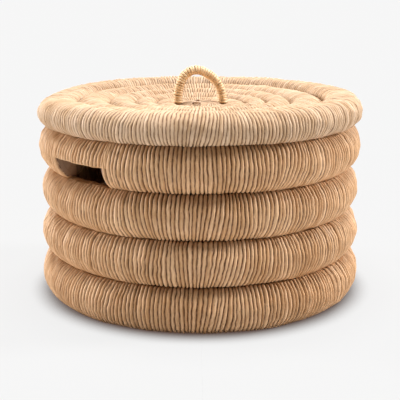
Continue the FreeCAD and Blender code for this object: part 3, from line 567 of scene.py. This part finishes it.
# Name, inner and outer radius, underside, top, crown's rise, turns and rows of each ring inside the rim
lidCoils = (("second", 112.6, 153.9, 204.0, 241.7, 11.0, 228, 34),
            ("third", 82.1, 112.4, 207.0, 239.7, 8.0, 168, 30),
            ("fourth", 58.5, 81.9, 209.0, 237.3, 6.0, 122, 28),
            ("fifth", 28.6, 58.3, 208.5, 234.7, 6.5, 88, 28))
for number, (name, inner, outer, low, high, crown, turns, rows) in enumerate(lidCoils, start=12):
    section = flatLoop(inner, outer, low, high, crown, rows)
    coil = windCoil(f"{name}_lid_coil", section, dict(lidWind, turns=turns, middle=0.72), lidCord, number)
    settle(coil, "lid", "fibre_cord", f"{name}_lid_coil_wrap", f"{name}_lid_coil_core")
lidHub = {"turns": 38, "rows": 40, "radius": 28.4, "low": 210.0, "high": 234.7, "crown": 5.0, "groove": 1.3,
          "swirl": 110.0}
hub = windHub("lid_hub", lidHub, lidCord, 16)
print("lid wound")


tubeSides = 8


# A tube along a line. A point is the line's, plus the first direction there times half the thickness
# times the cosine, plus the second direction times half the width times the sine.
def tube(name, line, first, second, halfWide, halfThick, sides, material, turnsNumber):
    angle = full * np.arange(sides) / sides
    places = line[:, None, :] + first[:, None, :] * (halfThick * np.cos(angle))[None, :, None]
    places = places + second[:, None, :] * (halfWide * np.sin(angle))[None, :, None]
    rows = len(line)
    quads, index = ringQuads(rows, sides)
    along = np.concatenate([[0], np.cumsum(np.linalg.norm(np.diff(line, axis=0), axis=1))])
    along = along / (2 * halfWide)
    # The map runs across the outward face and back across the other: half way at the crest, and 0 or 1
    # at the two sides, which go dark with the cord's painted shade. It is a half plus the arcsine of the
    # sine of the angle over pi, kept just inside the turn.
    face = 0.5 + np.arcsin(np.sin(full * np.arange(sides + 1) / sides)) / math.pi
    low, high = 0.02 + 0.94 * face[:-1], 0.02 + 0.94 * face[1:]
    here = turnsNumber[:-1, None]
    uv = np.zeros((rows - 1, sides, 4, 2))
    for corner, value in enumerate((low, high, high, low)):
        uv[..., corner, 0] = here + value[None, :]
    uv[..., 1] = np.stack([along[:-1], along[:-1], along[1:], along[1:]], axis=-1)[:, None, :]
    return newPiece(name, places, quads, uv, material, [index[0, ::-1], index[-1]])


# The end of the cord is curled up beside the middle of the lid: a ring that widens and sinks steadily.
# The turn's number on the map is one that no coil has, as on the handle's cane and its knots.
curl = {"turns": 1.35, "inner": 3.4, "outer": 4.6, "top": 238.0, "level": 234.7, "half": 1.25, "steps": 60,
        "place": (-16.0, -10.5, 0.0), "number": 6200}
share = np.linspace(0, 1, curl["steps"])
around = full * curl["turns"] * share
reach = (curl["inner"] + (curl["outer"] - curl["inner"]) * share) * mm
radial = np.stack([np.cos(around), np.sin(around), 0 * around], axis=1)
upward = np.stack([0 * around, 0 * around, 1 + 0 * around], axis=1)
level = (curl["top"] + (curl["level"] - curl["top"]) * share) * mm
spiral = radial * reach[:, None] + upward * level[:, None] + np.array(curl["place"]) * mm
# Its dark edges, painted shade, lie above and below, tilted by 30 degrees
crestWay, edgeWay = radial * 0.87 + upward * 0.5, radial * 0.5 - upward * 0.87
thick = curl["half"] * mm
numbers = 0 * around + curl["number"]
curled = tube("hub_curl", spiral, crestWay, edgeWay, thick, thick, tubeSides, lidCord, numbers)
joinTo(hub, (hub, curled))
settle(hub, "lid", "fibre_cord", "lid_hub_wrap", "lid_hub_core")
print("hub finished")


# The handle's line: up a straight leg, round a side arc, over the crown, which leans to the left, round
# the other side arc and down again. A point on an arc is its middle plus the radius times the outward
# direction there. The turn is in degrees, the rest in millimetres: the legs' distance from the axis, the
# arch's foot and top, the crown's radius and lean, the winding's start, its radius and its cane. It is
# uneven by a share of a turn.
handle = {"turn": -31.4, "foot": 28.5, "archFoot": 235.7, "apex": 273.8, "crown": 20.0, "lean": 5.0,
          "start": 231.5, "turns": 36, "steps": 24, "coil": 4.75, "halfWide": 1.68, "halfThick": 1.05,
          "spare": 1.5, "uneven": 0.09, "number": 6000}
crownUp = handle["apex"] - handle["archFoot"] - handle["crown"]


# Radius and sweep of the arc between a leg and the crown, from their distance across
def sideArc(reach):
    radius = (reach**2 + crownUp**2 - handle["crown"] ** 2) / (2 * (reach - handle["crown"]))
    return radius, math.atan2(crownUp, radius - reach)


leftArc, leftSweep = sideArc(handle["foot"] - handle["lean"])
rightArc, rightSweep = sideArc(handle["foot"] + handle["lean"])
legRun = handle["archFoot"] - handle["start"]
handleArcs = [
    (leftArc - handle["foot"], handle["archFoot"], leftArc, math.pi, leftSweep),
    (-handle["lean"], handle["archFoot"] + crownUp, handle["crown"], math.pi - leftSweep,
     math.pi - leftSweep - rightSweep),
    (handle["foot"] - rightArc, handle["archFoot"], rightArc, rightSweep, rightSweep)]
runs = np.cumsum([0, legRun] + [arc[2] * arc[4] for arc in handleArcs] + [legRun])


def handleLine(along):
    across, up = [-handle["foot"] + 0 * along], [handle["start"] + along]
    for (middleX, middleZ, radius, first, _), begun in zip(handleArcs, runs[1:]):
        angle = first - (along - begun) / radius
        across.append(middleX + radius * np.cos(angle))
        up.append(middleZ + radius * np.sin(angle))
    across.append(handle["foot"] + 0 * along)
    up.append(handle["archFoot"] - (along - runs[4]))
    which = (np.searchsorted(runs, along, side="right") - 1).clip(0, 4)
    return np.stack([np.choose(which, across), 0 * along, np.choose(which, up)], axis=1) * mm


steps = handle["turns"] * handle["steps"]
along = np.linspace(handle["spare"], runs[-1] - handle["spare"], steps)
middle = handleLine(along)
forwards = np.gradient(middle, axis=0)
forwards /= np.linalg.norm(forwards, axis=1)[:, None]
outwards = np.stack([-forwards[:, 2], 0 * along, forwards[:, 0]], axis=1)
sideways = np.stack([0 * along, 1 + 0 * along, 0 * along], axis=1)
draw = np.random.default_rng(40)
turnsDone = np.linspace(0, handle["turns"], steps)
pace = draw.normal(0, handle["uneven"], handle["turns"] + 1)
pace = np.interp(turnsDone, np.arange(handle["turns"] + 1), pace)
around = full * (turnsDone + pace)
coilRadius = handle["coil"] * mm * (1 + 0.03 * np.sin(turnsDone * 2.3))
radial = outwards * np.cos(around)[:, None] + sideways * np.sin(around)[:, None]
helix = middle + radial * coilRadius[:, None]
cos, sin = math.cos(math.radians(handle["turn"])), math.sin(math.radians(handle["turn"]))
rotate = np.array([[cos, -sin, 0], [sin, cos, 0], [0, 0, 1]])
helix, radial = helix @ rotate.T, radial @ rotate.T
path = np.gradient(helix, axis=0)
path /= np.linalg.norm(path, axis=1)[:, None]
numbers = np.floor(turnsDone) + handle["number"]
winding = tube("handle_winding_cane", helix, radial, np.cross(path, radial), handle["halfWide"] * mm,
               handle["halfThick"] * mm, tubeSides, caneSkin, numbers)
settle(winding, "lid", "fine_cane", "handle_winding")

# The bent cane inside shows only below the lid and between turns
material, tree, shader = newMaterial("bent_cane")
start = Shade(tree, None)
spot = start.node("ShaderNodeTexCoord", {}, out="Object")
grain = start.vector(spot.part(0) * 900.0, spot.part(1) * 900.0, spot.part(2) * 60.0).noise(1.0, 3.0)
tree.links.new(grain.mix((0.33, 0.17, 0.07), (0.6, 0.38, 0.19)).socket, shader.inputs["Base Color"])
tree.links.new((grain * 0.25 + 0.35).socket, shader.inputs["Roughness"])
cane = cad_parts["handle_cane"]
cane.data.materials.clear()
cane.data.materials.append(material)
print("handle wound")


# A knot under the lid on each leg: a few turns of cane, wider in the middle
knot = {"low": 203.0, "high": 210.0, "reach": 8.0, "half": 1.7, "turns": 3, "steps": 24, "drawnIn": 1.3,
        "number": 6100}
for name, side in (("left", -1), ("right", 1)):
    count = knot["turns"] * knot["steps"]
    done = np.linspace(0, knot["turns"], count)
    drawnIn = knot["drawnIn"] * np.abs(done / knot["turns"] * 2 - 1) ** 2
    ring = (knot["reach"] - knot["half"] - drawnIn) * mm
    level = np.linspace(knot["low"] + knot["half"], knot["high"] - knot["half"], count) * mm
    centre = np.array([handle["foot"] * side * cos, handle["foot"] * side * sin]) * mm
    radial = np.stack([np.cos(full * done), np.sin(full * done), 0 * done], axis=1)
    line = np.stack([centre[0] + ring * radial[:, 0], centre[1] + ring * radial[:, 1], level], axis=1)
    path = np.gradient(line, axis=0)
    path /= np.linalg.norm(path, axis=1)[:, None]
    thick = knot["half"] * mm
    piece = tube(f"{name}_knot_cane", line, radial, np.cross(path, radial), thick, thick, tubeSides,
                 caneSkin, np.floor(done) + knot["number"])
    settle(piece, "lid", "fine_cane", f"{name}_handle_knot")


# Lashing stitches: short twisted cords, as circles whose radius shrinks towards each end by the root of
# one minus a share of the sixth power of the way out. The twist is a small wave round the cord that
# turns along it.
stitch = {"radius": 2.2, "half": 7.0, "sides": 8, "rows": 9, "twist": 2.2}


def stitches(name, body, node, spots, axis):
    t = np.linspace(-1, 1, stitch["rows"])[:, None]
    angle = (full * np.arange(stitch["sides"]) / stitch["sides"])[None, :]
    taper = np.sqrt(1 - np.abs(t) ** 6 * 0.85)
    ring = stitch["radius"] * mm * taper * (0.94 + 0.06 * np.cos(2 * (angle - stitch["twist"] * t)))
    length = stitch["half"] * mm * t + 0 * angle
    shape = np.stack([ring * np.cos(angle), ring * np.sin(angle), length], axis=-1)
    if axis == "radial":
        shape = np.stack([shape[..., 2], shape[..., 0], shape[..., 1]], axis=-1)
    rows, sides = shape.shape[:2]
    quads, index = ringQuads(rows, sides)
    points, faces, corners, lids = [], [], [], []
    across = np.arange(sides + 1) / sides * 0.9 + 0.05
    uv = np.zeros((rows - 1, sides, 4, 2))
    uv[..., 0] = np.stack([across[:-1], across[1:], across[1:], across[:-1]], axis=-1)[None]
    uv[..., 1] = np.stack([t[:-1, 0], t[:-1, 0], t[1:, 0], t[1:, 0]], axis=-1)[:, None] * 1.5
    for count, (reach, level, degrees) in enumerate(spots):
        turnedBy = math.radians(degrees)
        c, s = math.cos(turnedBy), math.sin(turnedBy)
        moved = shape @ np.array([[c, s, 0], [-s, c, 0], [0, 0, 1]])
        points.append((moved + np.array([reach * c, reach * s, level]) * mm).reshape(-1, 3))
        faces.append((quads + count * rows * sides).reshape(-1, 4))
        lids += [index[0, ::-1] + count * rows * sides, index[-1] + count * rows * sides]
        corners.append(uv + np.array([count, 0]))
    points, faces, corners = np.concatenate(points), np.concatenate(faces), np.stack(corners)
    settle(newPiece(name, points, faces, corners, stitchCord, lids), body, "lashing_cord", node)


# Each group goes exactly where its solids lie: the radius and level come from their box at rest. The
# wall's stand clear of the hand slots on both sides.
seam = {"first": 18.6, "last": 161.4, "count": 10, "flatCount": 12}
for name in ("foot", "belly", "shoulder"):
    low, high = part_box(f"{name}_seam_stitches")
    steps = np.linspace(seam["first"], seam["last"], seam["count"])
    reach = (high.x / mm - stitch["radius"]) / math.cos(math.radians(seam["first"]))
    middleLevel = (low.z + high.z) / 2 / mm
    stitches(f"{name}_seam_lashing", "basket", f"{name}_seam_stitches",
             [(reach, middleLevel, angle) for angle in (*steps, *(steps + 180))], "up")
flatSeams = [("basket", name) for name in ("floor_edge", "outer_floor", "middle_floor", "floor_hub")]
flatSeams += [("lid", name) for name in ("lid_rim", "second_lid", "third_lid", "fourth_lid")]
for body, name in flatSeams:
    low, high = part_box(f"{name}_stitches")
    reach, middleLevel = high.x / mm - stitch["half"], (low.z + high.z) / 2 / mm
    angles = [360 // seam["flatCount"] * count for count in range(seam["flatCount"])]
    stitches(f"{name}_lashing", body, f"{name}_stitches",
             [(reach, middleLevel, angle) for angle in angles], "radial")
print("stitches made")


# Pale floor and soft light that reach everywhere alike: an even sky and three broad suns. Size and the
# reach of the contact shade are in metres, and the share that is lit takes the object's shadow.
stage = {"size": 60.0, "colour": 0.64, "sky": 0.08, "shown": 0.9216, "lit": 0.15, "even": 0.4,
         "near": 0.028, "shade": (0.1, 0.06, 0.045)}


# 1 where the camera, a gloss or a clear surface looks at the stage, 0 where it only lights the object
def plainlySeen(start):
    rays = ("Is Camera Ray", "Is Glossy Ray", "Is Transmission Ray")
    return sum(start.node("ShaderNodeLightPath", {}, out=ray) for ray in rays)


mesh = bpy.data.meshes.new("floor")
half = stage["size"]
square = [(-half, -half, 0), (half, -half, 0), (half, half, 0), (-half, half, 0)]
mesh.from_pydata(square, [], [(0, 1, 2, 3)])
ground = bpy.data.objects.new("floor", mesh)
bpy.context.scene.collection.objects.link(ground)
material, tree, shader = newMaterial("floor")
start = Shade(tree, None)
seen = plainlySeen(start)
real = start.node("ShaderNodeBsdfDiffuse", {"Color": (stage["colour"],) * 3 + (1,)})
lit = start.node("ShaderNodeBsdfDiffuse", {"Color": (stage["even"],) * 3 + (1,)})
plain = start.node("ShaderNodeEmission", {"Color": (stage["shown"],) * 3 + (1,), "Strength": 1.0})
shown = start.node("ShaderNodeMixShader", {0: stage["lit"], 1: plain, 2: lit})
# Close to the foot the floor sees little of the room
close = start.node("ShaderNodeAmbientOcclusion", {"Distance": stage["near"]}, out="AO")
shade = start.node("ShaderNodeEmission", {"Color": stage["shade"] + (1,), "Strength": 1.0})
shown = start.node("ShaderNodeMixShader", {0: close.step(0.0, 1.0), 1: shade, 2: shown})
both = start.node("ShaderNodeMixShader", {0: seen, 1: real, 2: shown})
tree.links.new(both.socket, tree.nodes["Material Output"].inputs["Surface"])
mesh.materials.append(material)

world = bpy.data.worlds.new("sky")
bpy.context.scene.world = world
world.use_nodes = True
tree = world.node_tree
tree.nodes.clear()
start = Shade(tree, None)
seen = plainlySeen(start)
sky = start.node("ShaderNodeBackground", {"Color": (1, 1, 1, 1), "Strength": stage["sky"]})
shown = start.node("ShaderNodeBackground", {"Color": (stage["shown"],) * 3 + (1,), "Strength": 1.0})
both = start.node("ShaderNodeMixShader", {0: seen, 1: sky, 2: shown})
surface = tree.nodes.new("ShaderNodeOutputWorld")
tree.links.new(both.socket, surface.inputs["Surface"])

# Suns: azimuth from the camera's side and elevation in degrees, strength, and width in degrees
suns = {"key": (180.0, 87.0, 5.0, 36.0), "left": (-106.0, 9.0, 3.6, 16.0),
        "right": (99.0, 27.0, 3.5, 14.0)}
for name, (azimuth, elevation, strength, wide) in suns.items():
    lamp = bpy.data.lights.new(name, "SUN")
    lamp.energy = strength
    lamp.angle = math.radians(wide)
    light = bpy.data.objects.new(name, lamp)
    a, e = math.radians(camera["azimuth"] + azimuth), math.radians(elevation)
    towards = Vector((math.sin(a) * math.cos(e), -math.cos(a) * math.cos(e), math.sin(e)))
    light.rotation_mode = "QUATERNION"
    light.rotation_quaternion = towards.to_track_quat("Z", "Y")
    bpy.context.scene.collection.objects.link(light)
bpy.context.scene.view_settings.view_transform = "Standard"
print("stage lit")

bpy.context.view_layer.update()
